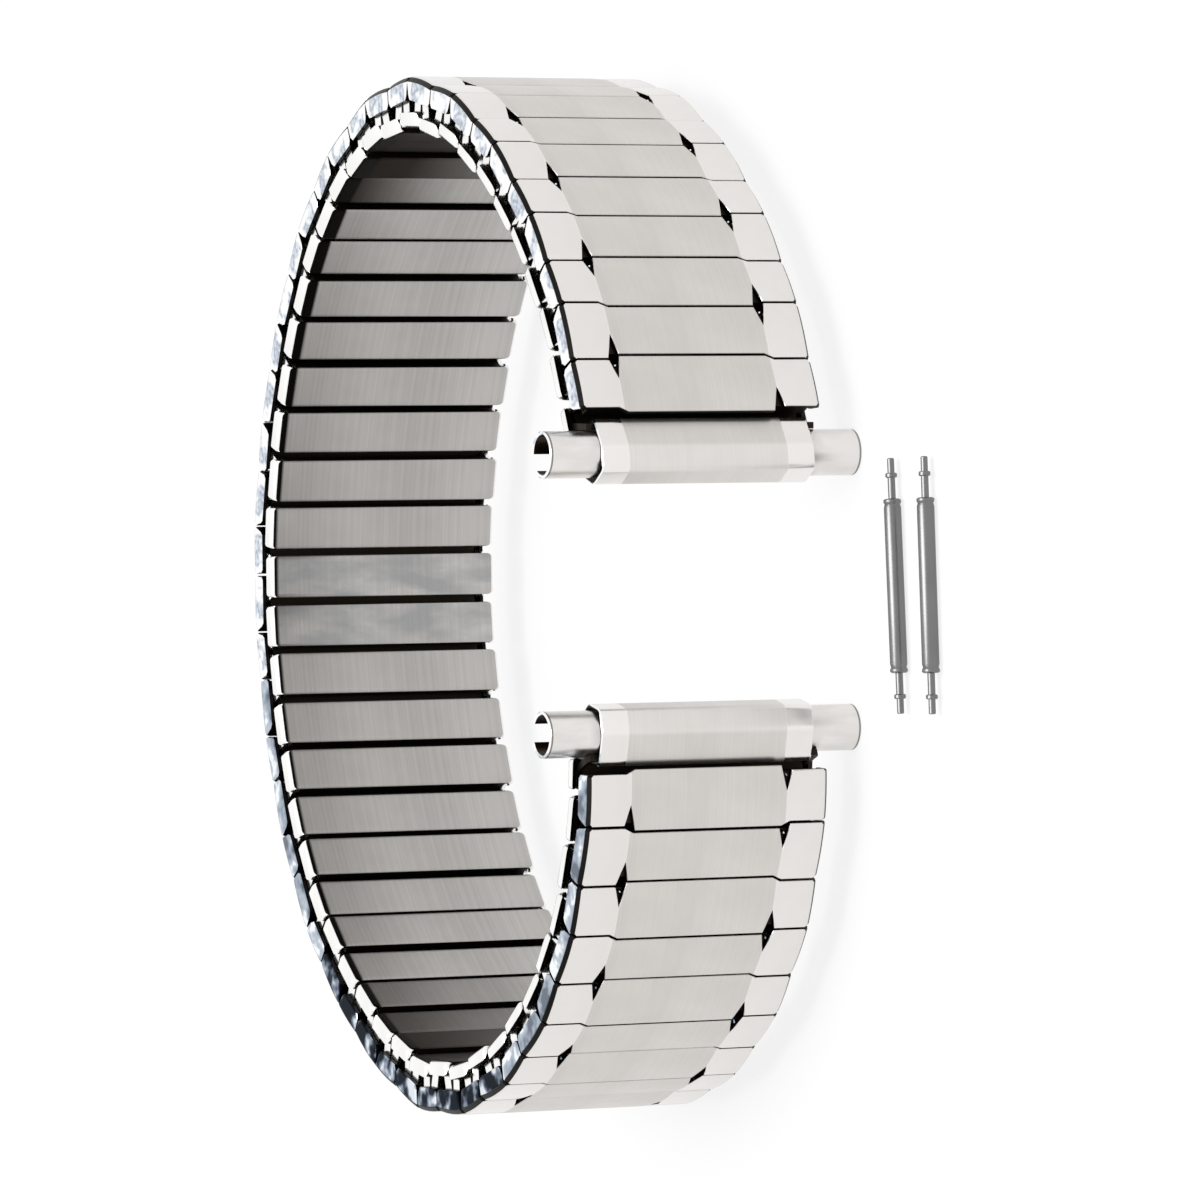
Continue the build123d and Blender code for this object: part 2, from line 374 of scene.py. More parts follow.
class Shape:
    """Points and faces of one piece, in its flat frame."""

    def __init__(self):
        self.points = []
        self.faces = []
        self.finishes = []

    def loops(self, loops, finish=0, caps=(True, True)):
        """Skins a row of equal point loops, in one finish or in one for each side of a loop."""
        start = len(self.points)
        count = len(loops[0])
        sides = finish if isinstance(finish, tuple) else (finish,) * count
        for loop in loops:
            self.points.extend(loop)
        for row in range(len(loops) - 1):
            for index, side in enumerate(sides):
                a = start + row * count + index
                b = start + row * count + (index + 1) % count
                self.faces.append((a, b, b + count, a + count))
                self.finishes.append(side)
        last = start + (len(loops) - 1) * count
        for wanted, first in zip(caps, (start, last)):
            if wanted:
                self.faces.append(tuple(range(first, first + count)))
                self.finishes.append(sides[-1])

    def ring(self, loop, finish):
        """Closes the end of a bent sheet between its outer and inner paths."""
        start = len(self.points)
        self.points.extend(loop)
        last = start + len(loop) - 1
        for index in range(len(loop) // 2 - 1):
            a = start + index
            self.faces.append((a, a + 1, last - index - 1, last - index))
            self.finishes.append(finish)

    def add(self, other, matrix):
        """Takes in another shape at a place of its own."""
        start = len(self.points)
        self.points.extend(tuple(matrix @ Vector(point)) for point in other.points)
        self.faces.extend(tuple(start + index for index in face) for face in other.faces)
        self.finishes.extend(other.finishes)


def crown_top(work):
    """Bulges the top of a cover a little between its two joint edges."""
    for place in crown_cuts:
        parts = list(work.verts) + list(work.edges) + list(work.faces)
        bmesh.ops.bisect_plane(
            work, geom=parts, dist=weld * MM, plane_co=(place * MM, 0, 0), plane_no=(1, 0, 0))
    for point in work.verts:
        x, depth = point.co.x / MM, point.co.y / MM
        held = min(max((crown_end - depth) / (crown_end - crown_reach), 0), 1)
        point.co.y -= held * crown * (1 / 2 - (x / half_cover) ** 2) * MM


def make_mesh(name, shape, materials, mirrored=False, crowned=False):
    """Makes the mesh in metres, with outward normals and soft shading on shallow edges."""
    flip = -1 if mirrored else 1
    points = [(x * MM, flip * y * MM, z * MM) for x, y, z in shape.points]
    mesh = bpy.data.meshes.new(name)
    mesh.from_pydata(points, [], shape.faces)
    for material in materials:
        mesh.materials.append(material)
    for face, finish in zip(mesh.polygons, shape.finishes):
        face.material_index = finish
    work = bmesh.new()
    work.from_mesh(mesh)
    bmesh.ops.remove_doubles(work, verts=work.verts, dist=weld * MM)
    if crowned:
        crown_top(work)
    bmesh.ops.recalc_face_normals(work, faces=work.faces)
    limit = math.radians(crowned_smooth_angle if crowned else smooth_angle)
    for face in work.faces:
        face.smooth = crowned or len(face.verts) == 4
    for edge in work.edges:
        edge.smooth = len(edge.link_faces) == 2 and edge.calc_face_angle(0) < limit
    work.to_mesh(mesh)
    work.free()
    return mesh


def show(name, mesh, matrix, body, nodes=()):
    """Puts a mesh in place on its body."""
    piece = bpy.data.objects.new(name, mesh)
    bpy.context.scene.collection.objects.link(piece)
    piece.matrix_world = matrix
    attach(piece, body)
    if nodes:
        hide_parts(*nodes)


# Materials
def new_material(name):
    """A material with its nodes, its links and its main shader."""
    material = bpy.data.materials.new(name)
    material.use_nodes = True
    nodes = material.node_tree.nodes
    return material, nodes, material.node_tree.links, nodes["Principled BSDF"]


def new_steel(name):
    """A metal, whose colour and roughness are still to be set."""
    material, nodes, links, steel = new_material(name)
    steel.inputs["Metallic"].default_value = 1.0
    return material, nodes, links, steel


def object_noise(nodes, links, stretch, scale, detail):
    """Noise in the piece's own space, stretched along chosen axes."""
    place = nodes.new("ShaderNodeTexCoord")
    mapping = nodes.new("ShaderNodeMapping")
    mapping.inputs["Scale"].default_value = stretch
    noise = nodes.new("ShaderNodeTexNoise")
    noise.inputs["Scale"].default_value = scale
    noise.inputs["Detail"].default_value = detail
    links.new(place.outputs["Object"], mapping.inputs["Vector"])
    links.new(mapping.outputs["Vector"], noise.inputs["Vector"])
    return noise


def own_noise(nodes, links, stretch, scale, detail):
    """Noise that differs from piece to piece."""
    noise = object_noise(nodes, links, stretch, scale, detail)
    noise.noise_dimensions = "4D"
    piece = nodes.new("ShaderNodeObjectInfo")
    own_place = combine(nodes, links, "MULTIPLY", piece.outputs["Random"], own_noise_span)
    links.new(own_place, noise.inputs["W"])
    return noise.outputs["Fac"]


def ramp(nodes, links, source, stops):
    """Colour ramp from a list of places and colours."""
    node = nodes.new("ShaderNodeValToRGB")
    while len(node.color_ramp.elements) < len(stops):
        node.color_ramp.elements.new(0.5)
    for element, (place, colour) in zip(node.color_ramp.elements, stops):
        element.position = place
        element.color = (*colour, 1.0)
    links.new(source, node.inputs["Fac"])
    return node.outputs["Color"]


def grey(level, warmth):
    """A near grey, a little warm."""
    return (level * (1 + warmth), level, level * (1 - warmth))


def tones(rows, base=1.0):
    """Stops of a ramp, from rows of a place, a share of the base grey and a warmth."""
    return [(place, grey(base * share, warmth)) for place, share, warmth in rows]


def combine(nodes, links, operation, first, second=0.0):
    """One math node, fed by sockets or numbers."""
    node = nodes.new("ShaderNodeMath")
    node.operation = operation
    for socket, source in zip(node.inputs, (first, second)):
        if isinstance(source, float):
            socket.default_value = source
        else:
            links.new(source, socket)
    return node.outputs["Value"]


def place_along(nodes, links, axis):
    """The place of a point along one axis of its piece, in metres."""
    place = nodes.new("ShaderNodeTexCoord")
    split = nodes.new("ShaderNodeSeparateXYZ")
    links.new(place.outputs["Object"], split.inputs["Vector"])
    return split.outputs[axis]


def distance_along(nodes, links, axis):
    """The distance of a point from the middle of its piece along one axis, in metres."""
    return combine(nodes, links, "ABSOLUTE", place_along(nodes, links, axis))


def distance_from(nodes, links, source, place):
    """How far the source is from a place."""
    return combine(nodes, links, "ABSOLUTE", combine(nodes, links, "SUBTRACT", source, place))


def fade(nodes, links, source, start, end, low=0.0, high=1.0):
    """Runs from low to high while the source runs from start to end."""
    node = nodes.new("ShaderNodeMapRange")
    node.inputs["From Min"].default_value = start
    node.inputs["From Max"].default_value = end
    node.inputs["To Min"].default_value = low
    node.inputs["To Max"].default_value = high
    links.new(source, node.inputs["Value"])
    return node.outputs["Result"]


def blend_colours(nodes, links, factor, first, second):
    """Mixes two colours, each a socket or a plain colour."""
    node = nodes.new("ShaderNodeMix")
    node.data_type = "RGBA"
    links.new(factor, node.inputs["Factor"])
    for name, source in (("A", first), ("B", second)):
        if isinstance(source, tuple):
            node.inputs[name].default_value = (*source, 1.0)
        else:
            links.new(source, node.inputs[name])
    return node.outputs["Result"]


def brushed_grain(nodes, links, cloud_scale, streak_share):
    """Streaks along the band mixed with soft clouds, and the clouds by themselves."""
    streaks = object_noise(nodes, links, brush_stretch, brush_scale, fine_detail).outputs["Fac"]
    clouds = object_noise(nodes, links, even_stretch, cloud_scale, cloud_detail).outputs["Fac"]
    streak_part = combine(nodes, links, "MULTIPLY", streaks, streak_share)
    cloud_part = combine(nodes, links, "MULTIPLY", clouds, 1 - streak_share)
    return combine(nodes, links, "ADD", streak_part, cloud_part), clouds


def brushed_zones(name, greys, zone_place, ridge=0.0):
    """Brushed steel between two polished zones across the band, with painted light beyond a ridge."""
    material, nodes, links, steel = new_steel(name)
    centre, sides = greys
    grain, clouds = brushed_grain(nodes, links, cover_cloud_scale, cover_streak_share)
    middle = ramp(nodes, links, grain, tones(brushed_shares, centre))
    outer = ramp(nodes, links, clouds, tones(polished_shares, sides))
    across = distance_along(nodes, links, "Z")
    side = combine(nodes, links, "GREATER_THAN", across, zone_place * MM)
    colour = blend_colours(nodes, links, side, middle, outer)
    # A faint bright line where the brushing starts.
    off_line = distance_from(nodes, links, across, zone_place * MM)
    line = fade(nodes, links, off_line, 0.0, zone_line * MM, zone_line_share, 0.0)
    colour = blend_colours(nodes, links, line, colour, grey(*zone_line_grey))
    # Painted light beyond the ridge.
    if ridge:
        along = place_along(nodes, links, "X")
        start = (ridge - ridge_fade) * MM
        beyond = fade(nodes, links, along, start, ridge * MM, 0.0, ridge_light_share)
        colour = blend_colours(nodes, links, beyond, colour, grey(*painted_ridge_light_grey))
    links.new(colour, steel.inputs["Base Color"])
    roughness = fade(nodes, links, side, 0.0, 1.0, brushed_rough, polished_rough)
    links.new(roughness, steel.inputs["Roughness"])
    return material


def mirror_steel(tone):
    """Polished rim flanges with painted reflections: bright with cold speckled patches, darker in the
    dull and dark tones.
    """
    material, nodes, links, steel = new_steel(f"mirror_rims_{tone}")
    steel.inputs["Roughness"].default_value = mirror_rough
    if tone == "dark":
        steel.inputs["Specular Tint"].default_value = (*dark_edge_tint, 1.0)
    patches = own_noise(nodes, links, even_stretch, patch_scale, patch_detail)
    if tone == "bright":
        speckle = object_noise(nodes, links, even_stretch, speckle_scale, cloud_detail).outputs["Fac"]
        along = distance_along(nodes, links, "X")
        core = mottle_half * mottle_core_share * MM
        inside = fade(nodes, links, along, core, mottle_half * MM, 1.0, 0.0)
        spread = fade(nodes, links, patches, *speckle_fade)
        patches = combine(nodes, links, "MULTIPLY", spread, speckle)
        patches = combine(nodes, links, "MULTIPLY", patches, inside)
    links.new(ramp(nodes, links, patches, rim_reflection_tones[tone]), steel.inputs["Base Color"])
    return material


def plain_steel(name):
    """A plain finish with faint spots."""
    colour, roughness = plain_finishes[name]
    material, nodes, links, steel = new_steel(name)
    steel.inputs["Roughness"].default_value = roughness
    spots = object_noise(nodes, links, even_stretch, spot_scale, cloud_detail).outputs["Fac"]
    darker = tuple(spot_share * part for part in colour)
    stops = tuple(zip(spot_places, (darker, colour)))
    links.new(ramp(nodes, links, spots, stops), steel.inputs["Base Color"])
    return material


def tube_material():
    """Polished tube, with patchy painted shade where it goes into its shell."""
    material, nodes, links, steel = new_steel("tubes")
    steel.inputs["Roughness"].default_value = tube_rough
    clouds = object_noise(nodes, links, tube_stretch, tube_cloud_scale, cloud_detail).outputs["Fac"]
    colour = ramp(nodes, links, clouds, tones(tube_tones))
    across = distance_along(nodes, links, "Z")
    # Painted shade in patches near the mouth of the shell.
    mouth = shell_length / 2
    near = fade(nodes, links, across, mouth * MM, (mouth + tube_mouth_shade) * MM, tube_mouth_shade_share, 0.0)
    shade_patches = fade(nodes, links, clouds, *tube_mouth_shade_fade)
    mouth_shade = combine(nodes, links, "MULTIPLY", near, shade_patches)
    # A dark line inside the end's bright rim.
    off_line = distance_from(nodes, links, across, tube_line_place * MM)
    line = fade(nodes, links, off_line, tube_line / 2 * MM, tube_line * MM, tube_line_share, 0.0)
    shade_and_line = combine(nodes, links, "MAXIMUM", mouth_shade, line)
    colour = blend_colours(nodes, links, shade_and_line, colour, grey(*tube_shade_and_line_grey))
    links.new(colour, steel.inputs["Base Color"])
    return material


def wrist_look(joint):
    """Painted shades of one inner link, and the width of the painted dark band beside its left rim."""
    first, above, below, last = band_joints
    steps = 0
    if first <= joint <= last:
        steps = max(above - joint, 0) * upper_band_step + max(joint - below, 0) * lower_band_step
    return (*painted_wrist_shades.get(joint, plain_shade), round(band_least + steps, 2))


@cache
def inner_steel(left_shade, right_shade, cloudy, band):
    """Brushed wrist side, with a painted dark band beside its bend to the left rim, and painted shade
    all over in the arcs.
    """
    name = f"inner_links_{round(left_shade * 100)}_{round(band * 100)}"
    material, nodes, links, steel = new_steel(name)
    steel.inputs["Roughness"].default_value = cloudy_rough if cloudy else wrist_rough
    grain, _ = brushed_grain(nodes, links, wrist_cloud_scale, wrist_streak_share)
    colour = ramp(nodes, links, grain, tones(wrist_tones))
    if cloudy:
        # Darker cloudy patches on the smoother joints.
        cloudy_patches = own_noise(nodes, links, cloudy_stretch, patch_scale, fine_detail)
        cloudy_patches = fade(nodes, links, cloudy_patches, *cloudy_fade, 0.0, cloudy_share)
        colour = blend_colours(nodes, links, cloudy_patches, colour, cloudy_colour)
    across = place_along(nodes, links, "Z")
    left_rim = half_width * MM
    # Painted shade: a dark band beside the left rim, and a shade over the joints in the arcs.
    band_edge = half_width - rim_dark - band
    painted_rim_band = fade(nodes, links, across, (band_edge - rim_soft) * MM, band_edge * MM)
    whole = fade(nodes, links, across, -left_rim, left_rim, right_shade, left_shade)
    foot = fade(nodes, links, across, -left_rim, shade_foot * MM)
    shade = combine(nodes, links, "MULTIPLY", whole, foot)
    colour = blend_colours(nodes, links, shade, colour, painted_shade_colour)
    colour = blend_colours(nodes, links, painted_rim_band, colour, painted_rim_shade_colour)
    links.new(colour, steel.inputs["Base Color"])
    return material


outer_steel = brushed_zones("outer_links", cover_greys, half_width - edge_zone)
end_steel = brushed_zones(
    "end_pieces", shell_greys, shell_length / 2 - polished_end, ridge=tube_offset + shell_wall)
mirrors = {tone: mirror_steel(tone) for tone in rim_reflection_tones}
mirror = mirrors["bright"]
# The dark rim lines, sleeves and tube insides carry painted shade.
painted_shade_line = plain_steel("painted_shade_rim_lines")
painted_shade_steel = plain_steel("painted_shade_sleeves")
bright_steel = plain_steel("staples")
painted_shade_tube_inside = plain_steel("painted_shade_tube_insides")
bar_steel = plain_steel("bars")
tube_steel = tube_material()


# Outer links
def cover_outline(start_side, end_side, zone_shift, inset, rim):
    """Top outline of a cover: S-steps at one zone line and half V-notches at the other."""
    line = half_width - edge_zone
    half_mouth = notch_width / 2

    def row(end, notch_side):
        """Points of one joint edge, from the right rim to the left."""
        middle_x = end * (half_cover - zone_shift - inset)
        side_x = end * (half_cover + zone_shift - inset)
        edge = []
        for side in (-1, 1):
            outer = [
                (end * (half_cover + zone_shift - inset - corner_round / 2), side * rim),
                (side_x, side * (rim - corner_round / 2)),
            ]
            if side == notch_side:
                tip_x = end * (half_cover - notch_length - inset)
                inner = [
                    (side_x, side * (line + half_mouth + inset)),
                    (tip_x, side * line),
                    (middle_x, side * (line - half_mouth - inset)),
                ]
            else:
                inner = [
                    (side_x, side * (line + step_run / 2)),
                    ((side_x + middle_x) / 2, side * line),
                    (middle_x, side * (line - step_run / 2)),
                ]
            part = outer + inner
            edge += part if side == -1 else list(reversed(part))
        return edge

    return row(-1, start_side) + list(reversed(row(1, end_side)))


def cover_shape(start_side, end_side, zone_shift):
    """Cover plate with eased edges and a bevel down to its rims."""
    shape = Shape()
    levels = (
        (0.0, edge_round, half_width - dark_bevel - edge_round / 2),
        (edge_round / 3, edge_round / 3, half_width - dark_bevel),
        (edge_round, 0.0, half_width - dark_bevel + edge_round),
        (dark_bevel, 0.0, half_width - edge_round / 2),
        (cover_thick, 0.0, half_width - edge_round / 2),
    )
    loops = []
    for depth, inset, rim in levels:
        outline = cover_outline(start_side, end_side, zone_shift, inset, rim)
        loops.append([(x, depth, z) for x, z in outline])
    shape.loops(loops, top_finish)
    # The bevel to the flange and the walls in the joints take a dark painted shade.
    for index, face in enumerate(shape.faces):
        if max(shape.points[corner][1] for corner in face) > edge_round:
            shape.finishes[index] = wall_finish
    return shape


def flange_outline(zone_shift, bent_end, inset):
    """Side view of a cover's flange, tapered most towards the joint that bends, with a rounded foot."""
    top = dark_bevel + flange_gap + inset
    half = half_cover + zone_shift - inset - edge_round / 2
    low = flange_depth - inset
    outline = []
    for end in (-1, 1):
        foot = half - (flange_taper if end == bent_end else straight_taper)
        side = [
            (end * half, top), (end * half, cover_thick + inset),
            (end * (foot + foot_round / 3), low - foot_round), (end * (foot - foot_round / 2), low),
        ]
        outline += side if end == -1 else list(reversed(side))
    return outline


def flange(shape, side, zone_shift, bent_end):
    """Rim flange of a cover, polished outside, with a dark painted shade inside."""
    levels = (
        (half_width - flange_thick, 0.0), (half_width - edge_round, 0.0),
        (half_width - edge_round / 4, edge_round / 2), (half_width, edge_round * flange_ease_share),
    )
    loops = []
    for place, inset in levels:
        loops.append([(x, y, side * place) for x, y in flange_outline(zone_shift, bent_end, inset)])
    shape.loops(loops[:2], wall_finish, caps=(True, False))
    shape.loops(loops[1:], rim_finish, caps=(False, True))


def sleeve(shape, low_x, high_x, top, height, finish):
    """Open rectangular tube across the band."""
    outer = [(low_x, top), (high_x, top), (high_x, top + height), (low_x, top + height)]
    wall = sleeve_wall
    inner = [(low_x + wall, top + wall), (high_x - wall, top + wall),
             (high_x - wall, top + height - wall), (low_x + wall, top + height - wall)]
    loops = []
    for outline, z in ((inner, -sleeve_half), (outer, -sleeve_half), (outer, sleeve_half),
                       (inner, sleeve_half), (inner, -sleeve_half)):
        loops.append([(x, y, z) for x, y in outline])
    shape.loops(loops, finish, caps=(False, False))


def staple(shape, outer_x, inner_x, side, finish, width=bow_width, shift=bow_shift):
    """U-shaped flat staple, whose bow is wider than its legs, most towards the middle of the link."""
    centre = -math.copysign(shift, outer_x)
    lean = math.atan2(outer_x - inner_x, inner_leg_depth - outer_leg_depth)
    span = math.hypot(outer_x - inner_x, inner_leg_depth - outer_leg_depth)
    tip = bow_inside - leg_length
    middle = (bow_inside + bow_outside) / 2
    turn = staple_thick / 2
    path = [(0, tip), (0, sleeve_half), (0, middle - turn / 3), (turn, middle)]
    path += [(span - y, z) for y, z in reversed(path)]
    loops = []
    for index, (y, z) in enumerate(path):
        before = Vector(path[max(index - 1, 0)])
        after = Vector(path[min(index + 1, len(path) - 1)])
        along = (after - before).normalized()
        in_sleeve = z <= sleeve_half
        normal = Vector((-along.y, along.x)) * (leg_thick if in_sleeve else staple_thick) / 2
        loop = []
        for across, out in ((-1, -1), (1, -1), (1, 1), (-1, 1)):
            x = across * staple_width / 2 if in_sleeve else centre + across * width / 2
            depth = y + normal.x * out
            z_place = (z + normal.y * out) * side
            loop.append((
                outer_x + x * math.cos(lean) - depth * math.sin(lean),
                outer_leg_depth + x * math.sin(lean) + depth * math.cos(lean),
                z_place,
            ))
        loops.append(loop)
    shape.loops(loops, finish)


def leaf(shape, floor, finish):
    """Leaf spring, a strip between the ends of the staple legs."""
    loops = []
    for z in (-leaf_half, leaf_half):
        loops.append([(-leaf_width / 2, floor, z), (leaf_width / 2, floor, z),
                      (leaf_width / 2, floor + leaf_thick, z), (-leaf_width / 2, floor + leaf_thick, z)])
    shape.loops(loops, finish)


def glint(shape, side):
    """Small bright cup in the notch at a cover's later end: a painted highlight."""
    centre_x = half_cover - notch_length / 3
    centre_z = side * (half_width - edge_zone)
    loops = []
    for level in range(1, glint_rings):
        angle = math.pi / 2 * level / glint_rings
        radius = glint_radius * math.sin(angle)
        y = cover_thick - glint_depth * math.cos(angle)
        ring = []
        for step in range(glint_sides):
            turn = math.tau * step / glint_sides
            ring.append((centre_x + radius * math.cos(turn), y, centre_z + radius * math.sin(turn)))
        loops.append(ring)
    shape.loops(loops, rim_finish)


def outer_link_shape(wide_sides, late_notches):
    """Cover with its flanges, sleeve, leaf spring and glint."""
    zone_shift = zone_step if wide_sides else -zone_step
    sides = (1, -1) if late_notches else (-1, 1)
    shape = cover_shape(*sides, zone_shift)
    for side in (-1, 1):
        flange(shape, side, zone_shift, 1 if wide_sides else -1)
    half = outer_sleeve_width / 2
    sleeve(shape, -half, half, cover_thick + sleeve_gap, outer_sleeve_height, sleeve_finish)
    leaf(shape, cover_thick + outer_sleeve_height - sleeve_wall - leaf_thick, sleeve_finish)
    # A painted highlight in the notch.
    glint(shape, sides[1])
    return shape


# Inner links
def tray_section(side_inset, depth_inset):
    """Cross-section of an inner link: a wrist plate that bends up into a flange at each rim."""
    rim = half_width - side_inset
    low = band_depth - depth_inset
    top = band_depth - tray_rise + side_inset * corner_slant
    inner_rim = half_width - flange_thick
    bent = [(rim, top)]
    for step in range(bend_steps + 1):
        angle = math.pi / 2 * step / bend_steps
        bent.append((
            rim - bend_radius * (1 - math.cos(angle)), low - bend_radius * (1 - math.sin(angle))))
    inside = [
        (inner_rim - flange_thick, tray_floor), (inner_rim, tray_floor - flange_thick), (inner_rim, top)]
    outline = bent + [(-z, y) for z, y in reversed(bent)]
    return outline + [(-z, y) for z, y in reversed(inside)] + inside


def inner_link_shape(low_x, high_x):
    """Wrist plate and rim flanges, bent from one sheet, over an open sleeve."""
    shape = Shape()
    ends = []
    for step in range(corner_steps + 1):
        angle = math.pi / 2 * step / corner_steps
        short = 1 - math.sin(angle)
        ends.append((tray_corner * (1 - math.cos(angle)), tray_corner * short, edge_round * short))
    places = [(low_x + shift, side, depth) for shift, side, depth in ends]
    places += [(high_x - shift, side, depth) for shift, side, depth in reversed(ends)]
    loops = []
    for x, side, depth in places:
        loops.append([(x, y, z) for z, y in tray_section(side, depth)])
    bend = (bend_finish,) * (bright_bend_steps + 1)
    bend += (plate_finish,) * (bend_steps - bright_bend_steps)
    finishes = bend + (plate_finish,) + tuple(reversed(bend)) + (hidden_finish,) * inside_sides
    shape.loops(loops, finishes)
    sleeve(shape, low_x, high_x, inner_sleeve_top, inner_sleeve_height - sleeve_gap, hidden_finish)
    return shape


def inner_with_staples(reach):
    """Inner link over a joint, with its leaf spring and the staples to both neighbours."""
    half = inner_width / 2
    shape = inner_link_shape(-half, half)
    leaf(shape, tray_floor - sleeve_wall - leaf_thick, hidden_finish)
    for side in (-1, 1):
        for end in (-1, 1):
            staple(shape, end * reach, end * inner_leg_reach, side, staple_finish)
    return shape


def end_inner_shape():
    """Short inner link at an end piece, with staples to the last cover and to the shell."""
    shape = inner_link_shape(-inner_width / 2, end_sleeve_end)
    for side in (-1, 1):
        staple(shape, -straight_leg_reach, -inner_leg_reach, side, staple_finish, staple_width, 0)
        # The staple to the shell takes the painted shade of the hidden parts.
        staple(shape, end_leg_offset, -end_inner_reach, side, hidden_finish, staple_width, 0)
    return shape


# Hidden parts of the inner links take the dark painted shade.
inner_finishes = (bright_steel, painted_shade_steel, bright_steel)


@cache
def outer_mesh(wide_sides, late_notches, tone):
    """Mesh shared by the outer links of one form and tone of painted reflection."""
    shape = outer_link_shape(wide_sides, late_notches)
    finishes = (outer_steel, mirrors[tone], painted_shade_line, painted_shade_steel)
    name = f"outer_link_{wide_sides}_{late_notches}_{tone}"
    return make_mesh(name, shape, finishes, crowned=True)


@cache
def inner_mesh(bent, look):
    """Mesh shared by the inner links of one form and painted shade."""
    shape = inner_with_staples(bent_leg_reach if bent else straight_leg_reach)
    finishes = (inner_steel(*look), *inner_finishes)
    return make_mesh(f"inner_link_{bent}_{look[0]}_{look[-1]}", shape, finishes)


for link in range(1, link_count + 1):
    node = f"link_{link:02d}"
    even = link % 2 == 0
    # The tone of a link's painted reflections goes by its place in the ring.
    tone = next(tone for first, tone in reflection_tone_starts if link >= first)
    mesh = outer_mesh(even, even or link == link_count, tone)
    show(f"outer_{node}", mesh, place_matrix(link_place(link)), node, (node,))
    if link < link_count:
        mesh = inner_mesh(even, wrist_look(link))
        show(f"inner_{node}", mesh, place_matrix(joint_place(link)), node)

for joint, link in ((0, 1), (link_count, link_count)):
    finishes = (inner_steel(*wrist_look(joint)), *inner_finishes)
    mesh = make_mesh(f"end_inner_{joint}", end_inner_shape(), finishes, mirrored=joint == 0)
    show(f"end_inner_link_{link:02d}", mesh, place_matrix(end_place(joint)), f"link_{link:02d}")


# End pieces
def inset_path(points, distance):
    """The open polyline moved sideways by a distance, with mitred corners."""
    moved = []
    for index, point in enumerate(points):
        before = Vector(points[index]) - Vector(points[max(index - 1, 0)])
        after = Vector(points[min(index + 1, len(points) - 1)]) - Vector(points[index])
        if index == 0:
            before = after
        if index == len(points) - 1:
            after = before
        first, second = before.normalized(), after.normalized()
        normal = Vector((-(first.y + second.y), first.x + second.x))
        normal *= distance / (1 + first.dot(second))
        moved.append((point[0] + normal.x, point[1] + normal.y))
    return moved


def smooth_path(points, rounds, keep_share):
    """Corner cutting, which leaves both ends in place."""
    for _ in range(rounds):
        path = [points[0]]
        for start, end in zip(points, points[1:]):
            for share in (keep_share, 1 - keep_share):
                along_x = (end[0] - start[0]) * share
                along_y = (end[1] - start[1]) * share
                path.append((start[0] + along_x, start[1] + along_y))
        path.append(points[-1])
        points = path
    return points


def sheet_bar(shape, path, wall, low, high, end_finish=edge_finish):
    """A bent sheet drawn out across the band, with eased ends."""
    inner = inset_path(path, wall)
    eased_outer = inset_path(path, edge_round)
    eased_inner = inset_path(path, wall - edge_round)
    levels = (
        (low, eased_outer, eased_inner), (low + edge_round, path, inner),
        (high - edge_round, path, inner), (high, eased_outer, eased_inner),
    )
    loops = []
    for z, first, second in levels:
        loops.append([(x, y, z) for x, y in first + list(reversed(second))])
    sides = len(path) - 1
    eased = (edge_finish,) * sides + (end_finish,) * (sides + 2)
    plain = (face_finish,) * sides + (edge_finish,) + (inside_finish,) * sides + (edge_finish,)
    shape.loops(loops[:2], eased, caps=(False, False))
    shape.loops(loops[1:3], plain, caps=(False, False))
    shape.loops(loops[2:], eased, caps=(False, False))
    for row in (loops[0], loops[-1]):
        shape.ring(row, end_finish)


def shell_shape():
    """Sheet wrapped round the tubes, with a ridged front, a rolled lower edge, and painted shade on its
    ends and inside.
    """
    far = shell_start + shell_height
    room = tube_radius + tube_clearance + shell_wall
    step = shell_step_share * room
    ridge_depth = tube_depth - math.hypot(room, tube_offset - shell_start - room)
    outline = [
        (shell_start, tube_depth + shell_wall),
        (shell_start, tube_depth - 2 * step - shell_wall / 2),
        (tube_offset + shell_wall, ridge_depth + shell_wall / 2),
        (far - shell_wall, tube_depth - 2 * step),
        (far, tube_depth + step),
        (tube_offset + shell_lip_share * shell_height, tube_depth + room),
    ]
    shape = Shape()
    path = smooth_path(outline, shell_round_steps, shell_round_share)
    sheet_bar(shape, path, shell_wall, -shell_length / 2, shell_length / 2, inside_finish)
    return shape


def tube_shape(side):
    """Telescoping tube, open along a slot on the wrist side."""
    shape = Shape()
    half_slot = math.asin(tube_slot / 2 / tube_radius)
    path = []
    for step in range(tube_steps + 1):
        angle = math.pi / 2 + half_slot + (math.tau - 2 * half_slot) * step / tube_steps
        x = tube_offset + tube_radius * math.cos(angle)
        y = tube_depth + tube_radius * math.sin(angle)
        path.append((x, y))
    ends = (side * band_middle, side * (band_middle - tube_length))
    sheet_bar(shape, path, tube_wall, min(ends), max(ends))
    return shape


for joint, name in ((0, "upper"), (link_count, "lower")):
    mirrored = joint == 0
    place = place_matrix(end_place(joint))
    mesh = make_mesh(f"{name}_shell", shell_shape(), (end_steel, mirror, painted_shade_line), mirrored)
    show(f"{name}_shell_cover", mesh, place, f"{name}_end_shell", (f"{name}_end_shell",))
    for side, label in ((1, "left"), (-1, "right")):
        node = f"{name}_tube_{label}"
        mesh = make_mesh(node, tube_shape(side), (tube_steel, mirror, painted_shade_tube_inside), mirrored)
        show(f"{node}_sheet", mesh, place, node, (node,))


# Loose spring bars
def turned_shape(profile):
    """Solid of revolution about Y from radii and places."""
    shape = Shape()
    loops = []
    for radius, y in profile:
        ring = []
        for step in range(round_sides):
            turn = math.tau * step / round_sides
            ring.append((radius * math.cos(turn), y, radius * math.sin(turn)))
        loops.append(ring)
    shape.loops(loops)
    return shape


